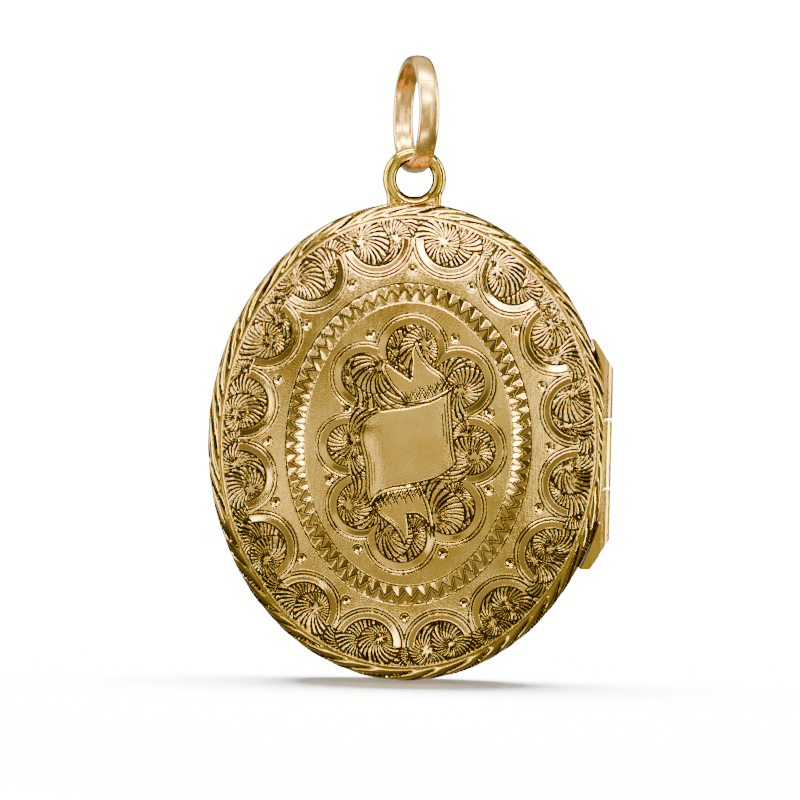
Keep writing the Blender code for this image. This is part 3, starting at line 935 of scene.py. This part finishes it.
def build():
    """Every visible piece with its finish, on the frame's bodies."""
    body_gold = gold("gold_engraved", (0.91, 0.575, 0.09), (0.78, 0.455, 0.055), 0.16)
    rim_gold = gold("gold_rim", (0.70, 0.45, 0.05), (0.48, 0.285, 0.028), 0.10, 0.2)
    ring_gold = gold("gold_ring", (0.97, 0.61, 0.14), (0.88, 0.51, 0.09), 0.25, 0.2)
    loop_gold = gold("gold_loop", (0.78, 0.52, 0.04), (0.56, 0.35, 0.025), 0.12, 0.2)
    hinge_gold = gold("gold_hinge", (0.70, 0.45, 0.08), (0.52, 0.31, 0.05), 0.24, 1.2)
    bright_gold = gold("gold_knuckle", (0.98, 0.70, 0.09), (0.86, 0.56, 0.06), 0.20, 0.8)
    gilt = gold("gilt_inside", (0.88, 0.64, 0.30), (0.82, 0.56, 0.24), 0.18, 0.5)
    crystal = plain("crystal_glass", (0.97, 0.98, 0.97), 0.02, 0.02, 1.0)
    card = plain("photo_card", (0.46, 0.36, 0.22), 0.75, 0.25)

    front = Relief()
    scallop_border(front)
    zigzag_band(front)
    cartouche(front)
    back = Relief()
    scallop_border(back)
    zigzag_band(back)
    cover = engraved_cover(
        "front_cover_engraved", "front_cover", FRONT, front, FRONT_GRID, "front_half"
    )
    dress(cover, body_gold)
    cover = engraved_cover(
        "back_cover_engraved", "back_cover", BACK, back, BACK_GRID, "back_half"
    )
    dress(cover, body_gold)
    dress(rope_rim("front_rim_rope", "front_rim", FRONT, "front_half"), rim_gold)
    dress(rope_rim("back_rim_rope", "back_rim", BACK, "back_half"), rim_gold)
    dress(smooth_ring("jump_ring_wire", "jump_ring", "ring"), ring_gold)
    loop = soldered_loop("pendant_loop_soldered", "pendant_loop", "back_half")
    dress(loop, loop_gold)
    # the CAD parts that stay visible, by a word in their names
    finishes = {
        "front_knuckle": (hinge_gold, "gold"),
        "back_knuckle": (bright_gold, "gold"),
        "bearer": (rim_gold, "gold"),
        "pin": (gilt, "gilt_frame"),
        "liner": (gilt, "gilt_frame"),
        "frame": (gilt, "gilt_frame"),
        "bezel": (gilt, "gilt_frame"),
        "crystal": (crystal, "crystal_glass"),
        "card": (card, "photo_card"),
    }
    for node, obj in frame["nodes"].items():
        for word, (material, slot) in finishes.items():
            if word in node:
                dress(obj, material)
                soften(obj)
    for tool in hinge_cutters():
        bpy.data.objects.remove(tool)


def soften(obj):
    """Take the sharpness off a CAD part's edges."""
    weld = obj.modifiers.new("weld", "WELD")
    weld.merge_threshold = 0.002 * MM
    bevel = obj.modifiers.new("bevel", "BEVEL")
    bevel.width = 0.04 * MM
    bevel.segments = 2
    bevel.limit_method = "ANGLE"
    bevel.angle_limit = math.radians(40)


def area_light(name, place, target, size, radiance, colour=(1, 1, 1)):
    """A soft box of that size in metres; radiance is what its face shows in a reflection."""
    data = bpy.data.lights.new(name, "AREA")
    data.shape = "RECTANGLE"
    data.size, data.size_y = size
    data.energy = radiance * math.pi * size[0] * size[1]
    data.color = colour
    obj = bpy.data.objects.new(name, data)
    bpy.context.scene.collection.objects.link(obj)
    obj.location = place
    obj.rotation_euler = (Vector(target) - Vector(place)).to_track_quat("-Z", "Y").to_euler()
    return obj


def sweep_finish():
    """Pale paper that glows more the farther out it is, so that no horizon shows."""
    made = bpy.data.materials.new("pale_sweep")
    made.use_nodes = True
    nodes, links = made.node_tree.nodes, made.node_tree.links
    shader = nodes["Principled BSDF"]
    shader.inputs["Base Color"].default_value = (0.9, 0.9, 0.9, 1)
    shader.inputs["Roughness"].default_value = 0.9
    shader.inputs["Emission Color"].default_value = (1, 1, 1, 1)
    place = nodes.new("ShaderNodeNewGeometry")
    distance = nodes.new("ShaderNodeVectorMath")
    distance.operation = "LENGTH"
    links.new(place.outputs["Position"], distance.inputs[0])
    glow = remap(nodes, links, distance.outputs["Value"], 0.065, 0.15, 0.2, 20.0)
    links.new(glow, shader.inputs["Emission Strength"])
    return made


def make_sweep():
    """A round pale floor whose edge curves up into a wall on every side."""
    floor_z = RIM_LOW.z - 0.10 * MM
    flat, radius, height, around = 0.8, 0.25, 1.2, 72
    profile = [(0.1, 0.0), (flat, 0.0)]
    for a in np.linspace(0, math.pi / 2, 13)[1:]:
        profile.append((flat + radius * math.sin(a), radius * (1 - math.cos(a))))
    profile.append((flat + radius, height))
    work = bmesh.new()
    rings = []
    for away, z in profile:
        ring = []
        for turn in np.linspace(0, 2 * math.pi, around, endpoint=False):
            place = (away * math.cos(turn), away * math.sin(turn), floor_z + z)
            ring.append(work.verts.new(place))
        rings.append(ring)
    work.faces.new(rings[0])
    for inner, outer in zip(rings, rings[1:]):
        for i in range(around):
            j = (i + 1) % around
            work.faces.new((inner[i], outer[i], outer[j], inner[j]))
    bmesh.ops.recalc_face_normals(work, faces=work.faces)
    mesh = bpy.data.meshes.new("sweep")
    work.to_mesh(mesh)
    work.free()
    mesh.shade_smooth()
    mesh.materials.append(sweep_finish())
    sweep = bpy.data.objects.new("sweep", mesh)
    bpy.context.scene.collection.objects.link(sweep)
    sweep.visible_glossy = False
    sweep.visible_diffuse = False
    sweep.visible_shadow = False
    return sweep


ROOM_AXIS = Vector((-0.10, 0.0, 0.995))
ROOM_STRENGTH = 3.4
# brightness by height along the axis, from 0 straight down to 1 straight up
ROOM_STEPS = (
    (0.0, 0.25),
    (0.28, 0.15),
    (0.42, 0.13),
    (0.48, 0.17),
    (0.53, 0.14),
    (0.60, 0.05),
    (0.70, 0.04),
    (0.80, 0.10),
    (0.86, 0.50),
    (1.0, 1.0),
)


def room():
    """The room that the gold reflects: bright above, dark over the middle, dim at the sides."""
    world = bpy.data.worlds.new("room")
    world.use_nodes = True
    nodes, links = world.node_tree.nodes, world.node_tree.links
    coords = nodes.new("ShaderNodeTexCoord")
    height = facing(nodes, links, coords, ROOM_AXIS)
    ramp = nodes.new("ShaderNodeValToRGB")
    steps = ramp.color_ramp.elements
    for place, _ in ROOM_STEPS[1:-1]:
        steps.new(place)
    for element, (place, value) in zip(steps, ROOM_STEPS):
        element.position = place
        element.color = (value, value, value, 1)
    links.new(remap(nodes, links, height, -1.0, 1.0, 0.0, 1.0), ramp.inputs["Fac"])
    either = nodes.new("ShaderNodeMath")
    either.operation = "ABSOLUTE"
    links.new(facing(nodes, links, coords, (0.0, -1.0, 0.0)), either.inputs[0])
    dim = remap(nodes, links, either.outputs["Value"], 0.3, 0.95, 0.22, 1.0)
    strength = nodes.new("ShaderNodeMath")
    strength.operation = "MULTIPLY"
    strength.inputs[1].default_value = ROOM_STRENGTH
    links.new(dim, strength.inputs[0])
    background = nodes["Background"]
    links.new(ramp.outputs["Color"], background.inputs["Color"])
    links.new(strength.outputs["Value"], background.inputs["Strength"])
    bpy.context.scene.world = world


def facing(nodes, links, coords, axis):
    """How far each direction of the world faces along an axis, from -1 to 1."""
    made = nodes.new("ShaderNodeVectorMath")
    made.operation = "DOT_PRODUCT"
    made.inputs[1].default_value = axis
    links.new(coords.outputs["Generated"], made.inputs[0])
    return made.outputs["Value"]


def direction(left, up, distance=0.40):
    """A place that many degrees left of and above the line from the locket to the lens."""
    a, b = math.radians(left), math.radians(up)
    place = Vector((-math.sin(a) * math.cos(b), -math.cos(a) * math.cos(b), math.sin(b)))
    return place * distance + Vector((0, 0, CENTRE_Z))


BOX_COLOUR = (1.0, 0.97, 0.86)
# soft boxes that the gold reflects: name, degrees left and up of the lens, size and radiance
SOFT_BOXES = (
    ("left_patch", 23, -9, (0.07, 0.09), 2.6),
    ("left_near", 52, 12, (0.022, 0.36), 18.0),
    ("left_wall", 80, 10, (0.04, 0.50), 44.0),
    ("left_rear", 128, 10, (0.12, 0.50), 2.5),
    ("top_near", -8, 36, (0.36, 0.05), 56.0),
    ("top_far", 5, 75, (0.50, 0.055), 66.0),
    ("right_patch", -13, 7, (0.12, 0.14), 0.65),
    ("right_strip", -33, 5, (0.022, 0.28), 15.0),
    ("right_wall", -82, 10, (0.04, 0.50), 40.0),
    ("right_rear", -128, 10, (0.12, 0.50), 2.0),
    ("low_front", 8, -40, (0.32, 0.045), 12.0),
    ("lens_side", 2, 0, (0.10, 0.12), 0.45),
)


def lights(sweep, middle):
    """A light for the sweep alone, and soft boxes for everything but the sweep."""
    lit = bpy.data.collections.new("lit_by_overhead")
    lit.objects.link(sweep)
    overhead = area_light("overhead", (0, 0.065, 0.46), (0, 0, 0), (0.60, 0.10), 300)
    overhead.light_linking.receiver_collection = lit
    overhead.visible_glossy = False
    metal = bpy.data.collections.new("lit_by_boxes")
    for obj in bpy.context.scene.collection.all_objects:
        if obj.type == "MESH" and obj is not sweep:
            metal.objects.link(obj)
    for name, left, up, size, radiance in SOFT_BOXES:
        box = area_light(name, direction(left, up), middle, size, radiance, BOX_COLOUR)
        box.light_linking.receiver_collection = metal


AIM_OFFSET = Vector((-0.65, -1.0, 2.9)) * MM  # from the body's middle
FRAME_WIDTH = 54.9 * MM  # how much the picture takes in at the object


def studio():
    """A pale sweep, the lights, the room that the gold reflects, and a long lens."""
    middle = Vector((0, PARTING_Y, CENTRE_Z))
    lights(make_sweep(), middle)
    room()

    camera = bpy.data.objects.new("camera", bpy.data.cameras.new("camera"))
    bpy.context.scene.collection.objects.link(camera)
    camera.data.lens = 150
    camera.data.clip_start = 0.01
    aim = middle + AIM_OFFSET
    rise = math.radians(2.5)
    distance = FRAME_WIDTH * camera.data.lens / camera.data.sensor_width
    camera.location = aim + Vector((0, -math.cos(rise), math.sin(rise))) * distance
    look = (aim - camera.location).to_track_quat("-Z", "Y")
    roll = Matrix.Rotation(math.radians(1.3), 4, "Z")
    camera.rotation_euler = (look.to_matrix().to_4x4() @ roll).to_euler()
    bpy.context.scene.camera = camera


build()
studio()
